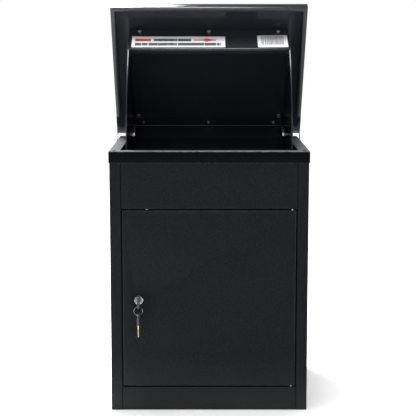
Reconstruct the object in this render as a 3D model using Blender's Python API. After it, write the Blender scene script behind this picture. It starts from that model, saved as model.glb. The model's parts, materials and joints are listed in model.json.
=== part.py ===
"""Free-standing sheet-steel parcel drop box.

The box has a hinged lid that carries a drop scoop, and a locked door below it. Metres, +Z up, the
front faces -Y, and the origin is the middle of the footprint on the floor. The pieces stand as when
a parcel is being put in: lid open, door shut, cam drawn back and the key in the lock.
"""
import math

import bmesh
import bpy
from mathutils import Matrix, Vector

# ---------------------------------------------------------------- driving sizes
WIDTH = 0.440
DEPTH = 0.365
RIM_Z = 0.587
SHEET = 0.0012
PLATE = 0.0015
GAP = 0.0003
BEND = 0.0016

FRONT_Y = -DEPTH / 2
BACK_Y = DEPTH / 2
SIDE_X = WIDTH / 2
INNER_X = SIDE_X - SHEET - 0.0012

# housing
STILE = 0.025
STILE_RETURN = 0.016
REAR_RETURN = 0.016
PLINTH_TOP = 0.0530
FASCIA_BOTTOM = 0.4580
PANEL_END_X = SIDE_X - STILE - 0.0005
BASE_FLANGE = 0.015
COLLAR_SKIRT = 0.026
COLLAR_PROUD = SHEET + GAP
COLLAR_TOP_WIDTH = 0.022
MOUTH_X = 0.197
MOUTH_BACK_Y = 0.172
BODY_TOP = RIM_Z - SHEET - GAP

# lid and scoop, drawn shut, about the pivot line: y runs back and z runs up from it
PIVOT_Y = 0.1675
PIVOT_Z = 0.575
LID_OPEN = math.radians(58.5)
LID_X = 0.228
LID_TOP = 0.034
LID_DEPTH = 0.020
LID_REACH = 0.373
LID_LIP = 0.010
LIP_STOPS_AT = 0.065
LUG_RADIUS = 0.0125
SCOOP_X = 0.1855
LEDGE_Y = -0.306
LEDGE_EDGE_Z = -0.055
LEDGE_HEM = 0.012
FLOOR_ANGLE = math.radians(-78.5)
SCOOP_RADIUS = 0.311
SCOOP_BACK = 0.024
SCREW_PITCH = 0.162

# door
DOOR_X = SIDE_X - STILE - 0.0025
DOOR_BOTTOM = 0.0560
DOOR_TOP = 0.4550
DOOR_RETURN = 0.016
DOOR_AXIS_X = 0.184
DOOR_AXIS_Y = FRONT_Y + 0.006
PIN_RADIUS = 0.0025

# lock, key and ring
LOCK_X = -0.157
LOCK_Z = 0.2534
BEZEL_RADIUS = 0.0105
BARREL_RADIUS = 0.0080
PLUG_RADIUS = 0.0060
WIRE_RADIUS = 0.0008
RING_RADIUS = 0.0092
LOOSE = 0.0009

# keys, in their own plane: u runs from the bow's middle to the blade's tip and v across
BLADE_THICK = 0.0024
BLADE_HALF = 0.0041
BLADE_LENGTH = 0.0270
BLADE_ROOT = 0.0045
BOW_HALF_THICK = 0.0023
BOW_HALF = 0.0140
BOW_END = 0.0145
BOW_NECK = 0.0125
BOW_NECK_HALF = 0.0055
BOW_CORNER = 0.0060
SLOT_U = -0.0095
SLOT_HALF = 0.0024
SLOT_REACH = 0.0115
BOW_Y = FRONT_Y - 0.0050 - BOW_NECK
RING_Y = BOW_Y + SLOT_U
RING_TOP_Z = LOCK_Z - SLOT_REACH + WIRE_RADIUS + LOOSE
RING_Z = RING_TOP_Z - RING_RADIUS
RING_LOW_Z = RING_Z - RING_RADIUS
SPARE_Z = RING_LOW_Z + SLOT_U - SLOT_HALF + WIRE_RADIUS + LOOSE

AXES = {"X": (1, 2, 0), "Y": (0, 2, 1), "Z": (0, 1, 2)}


# ---------------------------------------------------------------- scene and finishes
def clear_scene():
    for thing in list(bpy.data.objects):
        bpy.data.objects.remove(thing, do_unlink=True)


FINISHES = {
    "black_steel": ((0.018, 0.018, 0.020), 0.45, 0.0),
    "gloss_black_steel": ((0.012, 0.012, 0.013), 0.28, 0.0),
    "zinc_steel": ((0.62, 0.62, 0.60), 0.32, 1.0),
    "chrome": ((0.78, 0.78, 0.79), 0.12, 1.0),
    "brass": ((0.72, 0.52, 0.22), 0.30, 1.0),
    "rubber": ((0.02, 0.02, 0.02), 0.80, 0.0),
    "nylon": ((0.80, 0.80, 0.77), 0.50, 0.0),
    "label_film": ((0.88, 0.88, 0.87), 0.35, 0.0),
    "key_plastic": ((0.045, 0.048, 0.055), 0.42, 0.0),
}


def finish_for(name, finish):
    colour, roughness, metallic = FINISHES[finish]
    material = bpy.data.materials.new(f"{name}_{finish}")
    material.use_nodes = True
    shader = material.node_tree.nodes["Principled BSDF"]
    shader.inputs["Base Color"].default_value = (*colour, 1.0)
    shader.inputs["Roughness"].default_value = roughness
    shader.inputs["Metallic"].default_value = metallic
    material.diffuse_color = (*colour, 1.0)
    return material


def place(name, mesh, parent, finish):
    """Puts a mesh in the scene. Its coordinates are its parent's, or the world's without one."""
    thing = bpy.data.objects.new(name, mesh)
    bpy.context.collection.objects.link(thing)
    thing.parent = parent
    mesh.materials.append(finish_for(name, finish))
    mesh.shade_smooth()
    mesh.set_sharp_from_angle(angle=math.radians(32))
    return thing


def pivot(name, location, angle_x=0.0, parent=None):
    """An empty on a joint's axis, which carries the pieces that turn or slide there."""
    empty = bpy.data.objects.new(name, None)
    bpy.context.collection.objects.link(empty)
    empty.parent = parent
    empty.location = location
    empty.rotation_euler.x = angle_x
    return empty


# ---------------------------------------------------------------- shapes
def point_on(axis, u, v, along):
    """A point whose two coordinates across the axis are u and v, in X, Y, Z order."""
    iu, iv, ia = AXES[axis]
    point = [0.0, 0.0, 0.0]
    point[iu], point[iv], point[ia] = u, v, along
    return Vector(point)


def rounded_path(points, radius, steps=3):
    """A 2-D path with each inner corner replaced by an arc."""
    path = [Vector(points[0])]
    for before, corner, after in zip(points, points[1:], points[2:]):
        corner = Vector(corner)
        into = (Vector(before) - corner).normalized()
        out = (Vector(after) - corner).normalized()
        half = into.angle(out) / 2
        centre = corner + (into + out).normalized() * (radius / math.sin(half))
        start = corner + into * (radius / math.tan(half)) - centre
        end = corner + out * (radius / math.tan(half)) - centre
        turn = start.angle_signed(end)
        for i in range(steps + 1):
            spin = Matrix.Rotation(-turn * i / steps, 2)
            path.append(centre + spin @ start)
    path.append(Vector(points[-1]))
    return path


def bent_sheet(points, thickness=SHEET, radius=BEND):
    """The closed outline of a folded sheet whose middle line runs through the points."""
    path = rounded_path(points, radius)
    left, right = [], []
    for i, point in enumerate(path):
        before = path[max(i - 1, 0)]
        after = path[min(i + 1, len(path) - 1)]
        if 0 < i < len(path) - 1:
            a = (point - before).normalized()
            b = (after - point).normalized()
            along = (a + b).normalized()
            reach = thickness / 2 / max(along.dot(b), 0.5)
        else:
            along = (after - before).normalized()
            reach = thickness / 2
        normal = Vector((-along.y, along.x))
        left.append(point + normal * reach)
        right.append(point - normal * reach)
    return left + right[::-1]


def extruded(outline, axis, start, end):
    """A prism: a flat outline across the axis, pushed from start to end."""
    bm = bmesh.new()
    ring = [bm.verts.new(point_on(axis, u, v, start)) for u, v in outline]
    base = bm.faces.new(ring)
    grown = bmesh.ops.extrude_face_region(bm, geom=[base])
    moved = [item for item in grown["geom"] if isinstance(item, bmesh.types.BMVert)]
    bmesh.ops.translate(bm, verts=moved, vec=point_on(axis, 0, 0, end - start))
    bmesh.ops.recalc_face_normals(bm, faces=bm.faces)
    return bm


def block(low, high):
    bm = bmesh.new()
    bmesh.ops.create_cube(bm, size=1.0)
    low, high = Vector(low), Vector(high)
    size = high - low
    for vert in bm.verts:
        vert.co = (low + high) / 2 + Vector([c * s for c, s in zip(vert.co, size)])
    return bm


def ease_edges(bm, width, chosen, segments=2):
    """Rounds the edges whose two ends both satisfy the test."""
    edges = [e for e in bm.edges if all(chosen(v.co) for v in e.verts)]
    bmesh.ops.bevel(
        bm, geom=edges, offset=width, offset_type="OFFSET", segments=segments, profile=0.5,
        affect="EDGES", clamp_overlap=True,
    )
    return bm


def turned(profile, axis, centre, segments=24):
    """A closed profile of (radius, height) points spun round an axis through the centre."""
    bm = bmesh.new()
    verts = []
    for radius, height in profile:
        offset = point_on(axis, radius, 0.0, height)
        verts.append(bm.verts.new(Vector(centre) + offset))
    edges = [bm.edges.new(pair) for pair in zip(verts, verts[1:] + verts[:1])]
    bmesh.ops.spin(
        bm, geom=verts + edges, cent=Vector(centre), axis=point_on(axis, 0, 0, 1),
        angle=math.tau, steps=segments, use_merge=True, use_duplicate=False,
    )
    bmesh.ops.remove_doubles(bm, verts=bm.verts, dist=1e-6)
    flat = [f for f in bm.faces if f.calc_area() < 1e-12]
    bmesh.ops.delete(bm, geom=flat, context="FACES_ONLY")
    loose = [e for e in bm.edges if not e.link_faces]
    bmesh.ops.delete(bm, geom=loose, context="EDGES")
    bmesh.ops.recalc_face_normals(bm, faces=bm.faces)
    return bm


def merged(*meshes):
    """Several separate solids in one mesh, for use as one cutter."""
    whole = bmesh.new()
    for bm in meshes:
        part = bpy.data.meshes.new("part")
        bm.to_mesh(part)
        bm.free()
        whole.from_mesh(part)
        bpy.data.meshes.remove(part)
    return whole


def to_mesh(name, bm):
    mesh = bpy.data.meshes.new(name)
    bm.to_mesh(mesh)
    bm.free()
    return mesh


def piece(name, bm, finish, parent=None, cutters=()):
    """A named solid, less whatever its cutters take away."""
    thing = place(name, to_mesh(name, bm), parent, finish)
    for i, cutter_bm in enumerate(cutters):
        cutter = bpy.data.objects.new(f"{name}_cutter_{i}", to_mesh(f"{name}_cutter", cutter_bm))
        bpy.context.collection.objects.link(cutter)
        cutter.parent = parent
        cutter.hide_render = True
        cutter.display_type = "WIRE"
        cut = thing.modifiers.new(f"cut_{i}", "BOOLEAN")
        cut.operation = "DIFFERENCE"
        cut.solver = "EXACT"
        cut.object = cutter
    return thing


def drill(axis, centre, radius, half_length, segments=24):
    """A round cutter centred on a point."""
    profile = [(0.0, -half_length), (radius, -half_length), (radius, half_length), (0.0, half_length)]
    return turned(profile, axis, centre, segments)


def arc(centre, radius, start, end, steps):
    """Points on a circle in the plane, from one angle to another."""
    span = [start + (end - start) * i / steps for i in range(steps + 1)]
    return [(centre[0] + radius * math.cos(a), centre[1] + radius * math.sin(a)) for a in span]


def pan_head(radius, height, shank_radius, shank_length, drive=True):
    """The profile of a domed screw, head towards +height, with a drive recess in the crown."""
    recess = 0.35 * radius
    crown = [(recess, height), (0.0, height * 0.55)] if drive else [(0.0, height)]
    return [
        (0.0, -shank_length),
        (shank_radius, -shank_length),
        (shank_radius, 0.0),
        (radius, 0.0),
        (radius, 0.35 * height),
        (0.82 * radius, 0.75 * height),
        (0.50 * radius, 0.97 * height),
        *crown,
    ]


def hex_outline(centre, across_flats):
    return [
        (
            centre[0] + across_flats / math.sqrt(3) * math.cos(math.tau * i / 6),
            centre[1] + across_flats / math.sqrt(3) * math.sin(math.tau * i / 6),
        )
        for i in range(6)
    ]


# ---------------------------------------------------------------- housing
PIVOT_BOLT_RADIUS = 0.003
FIX_HOLE_RADIUS = 0.0042
BASE_FIXINGS = [(-0.150, 0.0), (0.150, 0.0)]
BACK_FIXINGS = [(-0.150, 0.460), (0.150, 0.460)]
BACK_FRONT_FACE = BACK_Y - 2 * SHEET - GAP


def side_panels():
    """One folded side: stile return, stile, side wall and rear return, left and right."""
    middle_x = SIDE_X - SHEET / 2
    front = FRONT_Y + SHEET / 2
    back = BACK_Y - SHEET / 2
    for name, side in (("side_panel_left", -1), ("side_panel_right", 1)):
        inner = side * (SIDE_X - STILE + SHEET / 2)
        path = [
            (inner, front + STILE_RETURN - SHEET / 2),
            (inner, front),
            (side * middle_x, front),
            (side * middle_x, back),
            (side * (SIDE_X - REAR_RETURN), back),
        ]
        hole = drill("X", (side * SIDE_X, PIVOT_Y, PIVOT_Z), PIVOT_BOLT_RADIUS + GAP, 0.004)
        piece(name, extruded(bent_sheet(path), "Z", 0.0, BODY_TOP), "black_steel", None, [hole])


def back_panel():
    half = INNER_X
    holes = [drill("Y", (x, BACK_FRONT_FACE, z), FIX_HOLE_RADIUS, 0.004) for x, z in BACK_FIXINGS]
    sheet = block((-half, BACK_FRONT_FACE, 0.0), (half, BACK_FRONT_FACE + SHEET, BODY_TOP))
    piece("back_panel", sheet, "black_steel", None, [merged(*holes)])


def base_panel():
    """A shallow tray between the sides, with two holes for floor bolts."""
    half = INNER_X
    low_y = FRONT_Y + STILE_RETURN + GAP
    high_y = BACK_FRONT_FACE - GAP
    tray = block((-half, low_y, 0.0), (half, high_y, BASE_FLANGE))
    hollow = block(
        (-half + SHEET, low_y + SHEET, SHEET), (half - SHEET, high_y - SHEET, 2 * BASE_FLANGE)
    )
    holes = [drill("Z", (x, y, 0.0), FIX_HOLE_RADIUS, 0.004) for x, y in BASE_FIXINGS]
    piece("base_panel", tray, "black_steel", None, [hollow, merged(*holes)])


def pin_hole(z):
    return drill("Z", (DOOR_AXIS_X, DOOR_AXIS_Y, z), PIN_RADIUS + 0.0002, 0.004)


def front_panels():
    """The fascia above the door and the plinth below it, each a folded channel."""
    front = FRONT_Y + SHEET / 2
    half = SHEET / 2
    fascia = [
        (FRONT_Y + 0.0200, FASCIA_BOTTOM + half),
        (front, FASCIA_BOTTOM + half),
        (front, BODY_TOP - half),
        (FRONT_Y + 0.0120, BODY_TOP - half),
    ]
    plinth = [
        (FRONT_Y + STILE_RETURN - GAP, half),
        (front, half),
        (front, PLINTH_TOP - half),
        (FRONT_Y + 0.0200, PLINTH_TOP - half),
    ]
    for name, path, hole_z in (
        ("front_fascia", fascia, FASCIA_BOTTOM),
        ("plinth_panel", plinth, PLINTH_TOP),
    ):
        channel = extruded(bent_sheet(path), "X", -PANEL_END_X, PANEL_END_X)
        piece(name, channel, "black_steel", None, [pin_hole(hole_z)])


def top_collar():
    """The rim: a capping with a turned-down skirt and a large mouth for the scoop."""
    x = SIDE_X + COLLAR_PROUD
    y = BACK_Y + COLLAR_PROUD
    cap = block((-x, -y, RIM_Z - COLLAR_SKIRT), (x, y, RIM_Z))
    ease_edges(cap, 0.0012, lambda co: co.z > RIM_Z - 0.001)
    hollow = block(
        (-x + SHEET, -y + SHEET, RIM_Z - 2 * COLLAR_SKIRT), (x - SHEET, y - SHEET, RIM_Z - SHEET)
    )
    mouth = block(
        (-MOUTH_X, -y + COLLAR_TOP_WIDTH, RIM_Z - 0.01), (MOUTH_X, MOUTH_BACK_Y, RIM_Z + 0.01)
    )
    holes = [
        drill("X", (side * x, PIVOT_Y, PIVOT_Z), PIVOT_BOLT_RADIUS + GAP, 0.004)
        for side in (-1, 1)
    ]
    piece("top_collar", cap, "black_steel", None, [hollow, mouth, merged(*holes)])


def door_stops():
    """Upright strips behind the door's two long edges, and the cam's keeper on the lock side."""
    low, high = PLINTH_TOP + 0.004, FASCIA_BOTTOM - 0.004
    outer = INNER_X
    lock_y = FRONT_Y + DOOR_RETURN + 0.0012
    lock_side = block((-outer, lock_y, low), (-DOOR_X + 0.0065, lock_y + SHEET, high))
    piece("door_stop_lock_side", lock_side, "black_steel")
    hinge_y = FRONT_Y + 0.0210
    hinge_side = block((DOOR_X - 0.0045, hinge_y, low), (outer, hinge_y + SHEET, high))
    piece("door_stop_hinge_side", hinge_side, "black_steel")
    keeper_y = lock_y + SHEET + GAP
    keeper = block(
        (-outer, keeper_y, LOCK_Z - 0.032), (-DOOR_X + 0.0065, keeper_y + PLATE, LOCK_Z + 0.032)
    )
    piece("cam_keeper_plate", keeper, "zinc_steel")


def door_pins():
    """The two upright pins that the door turns on, and the nylon button above its free end."""
    for name, z in (("door_pin_top", FASCIA_BOTTOM), ("door_pin_bottom", PLINTH_TOP)):
        pin = turned(
            [(0.0, -0.0080), (PIN_RADIUS, -0.0080), (PIN_RADIUS, 0.0080), (0.0, 0.0080)],
            "Z", (DOOR_AXIS_X, DOOR_AXIS_Y, z), 20,
        )
        piece(name, pin, "zinc_steel")
    button = turned(
        [(0.0, -0.0018), (0.0022, -0.0018), (0.0030, -0.0008), (0.0030, 0.0), (0.0, 0.0)],
        "Z", (-0.138, FRONT_Y + 0.0065, FASCIA_BOTTOM - GAP), 20,
    )
    piece("door_bump_stop", button, "nylon")


def lid_pivots():
    """At each side a bolt from outside, a nylon bush that spaces the lid off, and a nut inside."""
    skin = SIDE_X + COLLAR_PROUD
    for side, hand in ((-1, "left"), (1, "right")):
        centre = (side * (LID_X + GAP), PIVOT_Y, PIVOT_Z)
        length = LID_X - SIDE_X + 0.0105
        bolt = [(r, h * side) for r, h in pan_head(0.0060, 0.0032, PIVOT_BOLT_RADIUS, length)]
        piece(f"lid_pivot_bolt_{hand}", turned(bolt, "X", centre), "zinc_steel")
        bore = PIVOT_BOLT_RADIUS + 0.0002
        near, far = skin + GAP, LID_X - SHEET - GAP
        bush = [(bore, near * side), (0.0070, near * side), (0.0070, far * side), (bore, far * side)]
        piece(f"lid_pivot_bush_{hand}", turned(bush, "X", (0, PIVOT_Y, PIVOT_Z)), "nylon")
        inner = SIDE_X - SHEET - GAP
        low, high = sorted((side * inner, side * (inner - 0.0050)))
        nut = extruded(hex_outline((PIVOT_Y, PIVOT_Z), 0.0100), "X", low, high)
        nut_bore = drill("X", (side * inner, PIVOT_Y, PIVOT_Z), bore, 0.02)
        piece(f"lid_pivot_nut_{hand}", nut, "zinc_steel", None, [nut_bore])


def buffers_and_grommets():
    """Rubber pads that the shut lid rests on, and plugs in the unused fixing holes."""
    for side, hand in ((-1, "left"), (1, "right")):
        pad = turned(
            [(0.0, 0.0), (0.0045, 0.0), (0.0045, 0.0007), (0.0030, 0.0012), (0.0, 0.0012)],
            "Z", (side * 0.2095, FRONT_Y + 0.0090, RIM_Z + GAP), 20,
        )
        piece(f"lid_buffer_{hand}", pad, "rubber")
    neck = FIX_HOLE_RADIUS - GAP
    flange = 0.0070
    for i, (x, y) in enumerate(BASE_FIXINGS):
        plug = [
            (0.0, 0.0), (neck, 0.0), (neck, SHEET + GAP),
            (flange, SHEET + GAP), (flange, SHEET + 0.0018), (0.0, SHEET + 0.0024),
        ]
        piece(f"base_grommet_{i + 1}", turned(plug, "Z", (x, y, 0.0), 20), "rubber")
    for i, (x, z) in enumerate(BACK_FIXINGS):
        plug = [
            (0.0, 0.0), (neck, 0.0), (neck, -SHEET - GAP),
            (flange, -SHEET - GAP), (flange, -SHEET - 0.0018), (0.0, -SHEET - 0.0024),
        ]
        centre = (x, BACK_FRONT_FACE + SHEET, z)
        piece(f"back_grommet_{i + 1}", turned(plug, "Y", centre, 20), "rubber")


# ---------------------------------------------------------------- lid and scoop
LID_UNDER = LID_TOP - SHEET
SCOOP_TOP = LID_UNDER - GAP
LEDGE_SCREW_Z = SCOOP_TOP - 0.0115
FLANGE_SCREW_Y = -0.036
SIDE_BOLT = (0.1740, -0.056)
SCREW_SHANK = 0.0024


def screw_rows():
    return [-SCREW_PITCH, 0.0, SCREW_PITCH]


def lid_panel(parent):
    """A shallow folded cover with turned-in lips, and a lug at each rear corner for its pivot."""
    bottom = LID_TOP - LID_DEPTH
    outline = [
        (-LID_REACH, LID_TOP),
        (-LID_REACH, bottom),
        (-LUG_RADIUS, bottom),
        *arc((0.0, 0.0), LUG_RADIUS, math.pi, math.tau, 12),
        (LUG_RADIUS, bottom),
        (0.0, LID_TOP),
    ]
    cover = extruded(outline, "X", -LID_X, LID_X)
    ease_edges(
        cover, 0.0012,
        lambda co: co.z > bottom - 1e-5 and (co.y < -LID_REACH + 1e-5 or co.z > LID_TOP - 1e-5),
    )
    inside = LID_X - SHEET
    behind = 0.03
    hollow = block((-inside, -LID_REACH + SHEET, bottom + SHEET), (inside, behind, LID_UNDER))
    mouth = block(
        (-inside + LID_LIP, -LID_REACH + SHEET + LID_LIP, -0.02),
        (inside - LID_LIP, behind, bottom + 2 * SHEET),
    )
    no_lip = block((-inside, -LIP_STOPS_AT, -0.02), (inside, behind, bottom + 2 * SHEET))
    holes = [
        drill("X", (side * LID_X, 0.0, 0.0), PIVOT_BOLT_RADIUS + GAP, 0.004) for side in (-1, 1)
    ]
    piece("lid_panel", cover, "gloss_black_steel", parent, [hollow, mouth, no_lip, merged(*holes)])


def scoop_ledge(parent):
    """The scoop's front wall, hemmed at its free edge, and the angle that ties it to the lid."""
    inside = SCOOP_X - PLATE - GAP
    middle = LEDGE_Y + PLATE / 2
    path = [
        (middle, SCOOP_TOP),
        (middle, LEDGE_EDGE_Z + PLATE / 2),
        (middle + LEDGE_HEM, LEDGE_EDGE_Z + PLATE / 2),
    ]
    holes = [
        drill("Y", (x, middle, LEDGE_SCREW_Z), SCREW_SHANK + GAP, 0.006, 16)
        for x in screw_rows()
    ]
    ledge = extruded(bent_sheet(path, PLATE, 0.0040), "X", -inside, inside)
    piece("scoop_ledge", ledge, "gloss_black_steel", parent, [merged(*holes)])
    face = LEDGE_Y + PLATE + GAP + SHEET / 2
    angle = [
        (face + 0.0180, SCOOP_TOP - SHEET / 2),
        (face, SCOOP_TOP - SHEET / 2),
        (face, SCOOP_TOP - 0.0200),
    ]
    holes = [
        drill("Y", (x, face, LEDGE_SCREW_Z), SCREW_SHANK + GAP, 0.006, 16)
        for x in screw_rows()
    ]
    strip = extruded(bent_sheet(angle), "X", -inside + 0.016, inside - 0.016)
    piece("ledge_bracket", strip, "gloss_black_steel", parent, [merged(*holes)])


def floor_point(radius):
    return (-radius * math.cos(FLOOR_ANGLE), radius * math.sin(FLOOR_ANGLE))


def scoop_sides(parent):
    """Sector-shaped cheeks whose round edge is centred on the pivot, each with a fixing flange."""
    edge_angle = math.pi - math.atan2(LEDGE_EDGE_Z, -LEDGE_Y)
    floor_angle = math.pi - FLOOR_ANGLE
    outline = [
        (-SCOOP_BACK, SCOOP_TOP),
        (LEDGE_Y - 0.001, SCOOP_TOP),
        *arc((0.0, 0.0), SCOOP_RADIUS, edge_angle, floor_angle, 20),
        (floor_point(SCOOP_RADIUS)[0] + 0.004, floor_point(SCOOP_RADIUS)[1]),
        (-SCOOP_BACK + 0.003, -0.022),
        (-SCOOP_BACK, -0.018),
    ]
    for side, hand in ((-1, "left"), (1, "right")):
        low, high = sorted((side * SCOOP_X, side * (SCOOP_X - PLATE)))
        cheek = extruded(outline, "X", low, high)
        flange_low, flange_high = sorted((side * (SCOOP_X - PLATE / 2), side * 0.1665))
        flange = block(
            (flange_low, -0.280, SCOOP_TOP - PLATE), (flange_high, -0.0485, SCOOP_TOP)
        )
        hole = drill("Z", (side * SIDE_BOLT[0], SIDE_BOLT[1], SCOOP_TOP), 0.0033, 0.006, 16)
        name = f"scoop_side_{hand}"
        cheek_piece = piece(name, cheek, "gloss_black_steel", parent)
        join_flange(cheek_piece, flange, hole, parent)


def join_flange(target, flange, hole, parent):
    """Joins a flange to a plate as one folded piece, then drills it."""
    for label, bm, operation in (("flange", flange, "UNION"), ("drill", hole, "DIFFERENCE")):
        tool = bpy.data.objects.new(f"{target.name}_{label}", to_mesh(f"{target.name}_{label}", bm))
        bpy.context.collection.objects.link(tool)
        tool.parent = parent
        tool.hide_render = True
        tool.display_type = "WIRE"
        step = target.modifiers.new(label, "BOOLEAN")
        step.operation = operation
        step.solver = "EXACT"
        step.object = tool


def scoop_floor(parent):
    """The plate that the parcel lies on. It hangs nearly upright once the lid is shut."""
    inside = SCOOP_X - PLATE - GAP
    flange_z = SCOOP_TOP - SHEET / 2
    tip = floor_point(SCOOP_RADIUS - 0.003)
    path = [
        tip,
        (-SCOOP_BACK - 0.001, -0.022),
        (-SCOOP_BACK - 0.001, flange_z),
        (-SCOOP_BACK - 0.022, flange_z),
    ]
    holes = [
        drill("Z", (x, FLANGE_SCREW_Y, flange_z), SCREW_SHANK + GAP, 0.004, 16)
        for x in screw_rows()
    ]
    sheet = extruded(bent_sheet(path, SHEET, 0.0030), "X", -inside, inside)
    piece("scoop_floor", sheet, "gloss_black_steel", parent, [merged(*holes)])


def scoop_fixings(parent):
    """Three screws through the ledge, three under the floor's flange and one bolt in each side."""
    names = ("left", "centre", "right")
    for x, name in zip(screw_rows(), names):
        head = LEDGE_Y - GAP
        profile = [(r, -h) for r, h in pan_head(0.0046, 0.0026, SCREW_SHANK, 0.0046)]
        screw = turned(profile, "Y", (x, head, LEDGE_SCREW_Z), 20)
        piece(f"ledge_screw_{name}", screw, "zinc_steel", parent)
    for x, name in zip(screw_rows(), names):
        head = SCOOP_TOP - SHEET - GAP
        profile = [(r, -h) for r, h in pan_head(0.0046, 0.0026, SCREW_SHANK, 0.0012)]
        screw = turned(profile, "Z", (x, FLANGE_SCREW_Y, head), 20)
        piece(f"floor_screw_{name}", screw, "zinc_steel", parent)
    for side, hand in ((-1, "left"), (1, "right")):
        head = SCOOP_TOP - PLATE - GAP
        profile = [(r, -h) for r, h in pan_head(0.0055, 0.0034, 0.0030, 0.0014)]
        bolt = turned(profile, "Z", (side * SIDE_BOLT[0], SIDE_BOLT[1], head), 20)
        piece(f"side_bolt_{hand}", bolt, "zinc_steel", parent)


LABEL_THICK = 0.0004
NOTICE_LABEL = (-0.1785, 0.0375, -0.0480, -0.0020)
CODE_LABEL = (0.1125, 0.1820, -0.0480, 0.0030)


def labels(parent):
    """Two film labels on the outer half of the ledge."""
    back = LEDGE_Y - GAP
    for name, (x0, x1, z0, z1) in (("notice_label", NOTICE_LABEL), ("code_label", CODE_LABEL)):
        film = block((x0, back - LABEL_THICK, z0), (x1, back, z1))
        piece(name, film, "label_film", parent)


# ---------------------------------------------------------------- door and lock
PLUG_FRONT = FRONT_Y - 0.0036
BEZEL_FRONT = FRONT_Y - 0.0034
BARREL_BACK = FRONT_Y + 0.0225
CAM_FRONT = BARREL_BACK + 0.0020
CAM_THICK = 0.0020
SPIGOT = 0.0036


def local(parent, bm):
    """Shifts a mesh drawn in the world into an unturned pivot's coordinates."""
    bmesh.ops.translate(bm, verts=bm.verts, vec=-parent.matrix_world.translation)
    return bm


def door_panel(parent):
    """The door skin with its four returns, drilled for the lock and the hinge pins."""
    skin = block(
        (-DOOR_X, FRONT_Y, DOOR_BOTTOM), (DOOR_X, FRONT_Y + DOOR_RETURN, DOOR_TOP)
    )
    ease_edges(skin, 0.0012, lambda co: co.y < FRONT_Y + 1e-5)
    hollow = block(
        (-DOOR_X + SHEET, FRONT_Y + SHEET, DOOR_BOTTOM + SHEET),
        (DOOR_X - SHEET, FRONT_Y + 2 * DOOR_RETURN, DOOR_TOP - SHEET),
    )
    holes = merged(
        drill("Y", (LOCK_X, FRONT_Y, LOCK_Z), BARREL_RADIUS + GAP, 0.006),
        pin_hole(DOOR_TOP),
        pin_hole(DOOR_BOTTOM),
    )
    cutters = [local(parent, hollow), local(parent, holes)]
    piece("door_panel", local(parent, skin), "black_steel", parent, cutters)


def door_stiffener(parent):
    """An upright hat channel behind the middle of the skin."""
    back = FRONT_Y + SHEET + GAP + SHEET / 2
    crown = FRONT_Y + 0.0130
    path = [
        (-0.045, back), (-0.028, back), (-0.022, crown), (0.022, crown), (0.028, back), (0.045, back),
    ]
    hat = extruded(bent_sheet(path), "Z", DOOR_BOTTOM + 0.020, DOOR_TOP - 0.020)
    piece("door_stiffener", local(parent, hat), "black_steel", parent)


def door_lock(parent):
    """The fixed half of the cam lock: its barrel with the front bezel, and the nut behind."""
    bore = PLUG_RADIUS + 0.0002
    centre = (LOCK_X, 0.0, LOCK_Z)
    barrel = turned(
        [
            (bore, BARREL_BACK),
            (bore, BEZEL_FRONT),
            (BEZEL_RADIUS - 0.0016, BEZEL_FRONT),
            (BEZEL_RADIUS, BEZEL_FRONT + 0.0014),
            (BEZEL_RADIUS, FRONT_Y - GAP),
            (BARREL_RADIUS, FRONT_Y - GAP),
            (BARREL_RADIUS, BARREL_BACK),
        ],
        "Y", centre, 32,
    )
    piece("lock_barrel", local(parent, barrel), "chrome", parent)
    near = FRONT_Y + SHEET + GAP
    nut = extruded(hex_outline((LOCK_X, LOCK_Z), 0.0220), "Y", near, near + 0.0040)
    nut_bore = drill("Y", (LOCK_X, near, LOCK_Z), BARREL_RADIUS + GAP, 0.02, 32)
    piece("lock_nut", local(parent, nut), "zinc_steel", parent, [local(parent, nut_bore)])


def lock_plug(parent):
    """The turning half: the plug with its keyway, the cam on the spigot and the cam's screw."""
    centre = (LOCK_X, 0.0, LOCK_Z)
    plug = turned(
        [
            (0.0, PLUG_FRONT),
            (PLUG_RADIUS - 0.0006, PLUG_FRONT),
            (PLUG_RADIUS, PLUG_FRONT + 0.0006),
            (PLUG_RADIUS, BARREL_BACK + 0.0012),
            (SPIGOT, BARREL_BACK + 0.0012),
            (SPIGOT, CAM_FRONT + CAM_THICK),
            (0.0, CAM_FRONT + CAM_THICK),
        ],
        "Y", centre, 32,
    )
    slot_x, slot_z = BLADE_THICK / 2 + GAP, BLADE_HALF + GAP
    slot_back = BOW_Y + BOW_NECK + BLADE_LENGTH + GAP
    keyway = block(
        (LOCK_X - slot_x, PLUG_FRONT - 0.01, LOCK_Z - slot_z),
        (LOCK_X + slot_x, slot_back, LOCK_Z + slot_z),
    )
    piece("lock_plug", local(parent, plug), "chrome", parent, [local(parent, keyway)])
    outline = [
        (LOCK_X - 0.0090, LOCK_Z - 0.0045),
        *arc((LOCK_X, LOCK_Z), 0.0090, math.radians(210), math.radians(330), 6),
        (LOCK_X + 0.0090, LOCK_Z - 0.0045),
        (LOCK_X + 0.0080, LOCK_Z + 0.0420),
        (LOCK_X + 0.0050, LOCK_Z + 0.0450),
        (LOCK_X - 0.0050, LOCK_Z + 0.0450),
        (LOCK_X - 0.0080, LOCK_Z + 0.0420),
    ]
    cam = extruded(outline, "Y", CAM_FRONT, CAM_FRONT + CAM_THICK)
    hole = drill("Y", (LOCK_X, CAM_FRONT, LOCK_Z), SPIGOT + GAP, 0.01, 20)
    piece("lock_cam", local(parent, cam), "zinc_steel", parent, [local(parent, hole)])
    behind = CAM_FRONT + CAM_THICK + GAP
    profile = [(0.0, 0.0), (0.0062, 0.0), (0.0062, 0.0014), (0.0048, 0.0026), (0.0, 0.0026)]
    screw = turned(profile, "Y", (LOCK_X, behind, LOCK_Z), 20)
    piece("cam_screw", local(parent, screw), "zinc_steel", parent)


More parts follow.
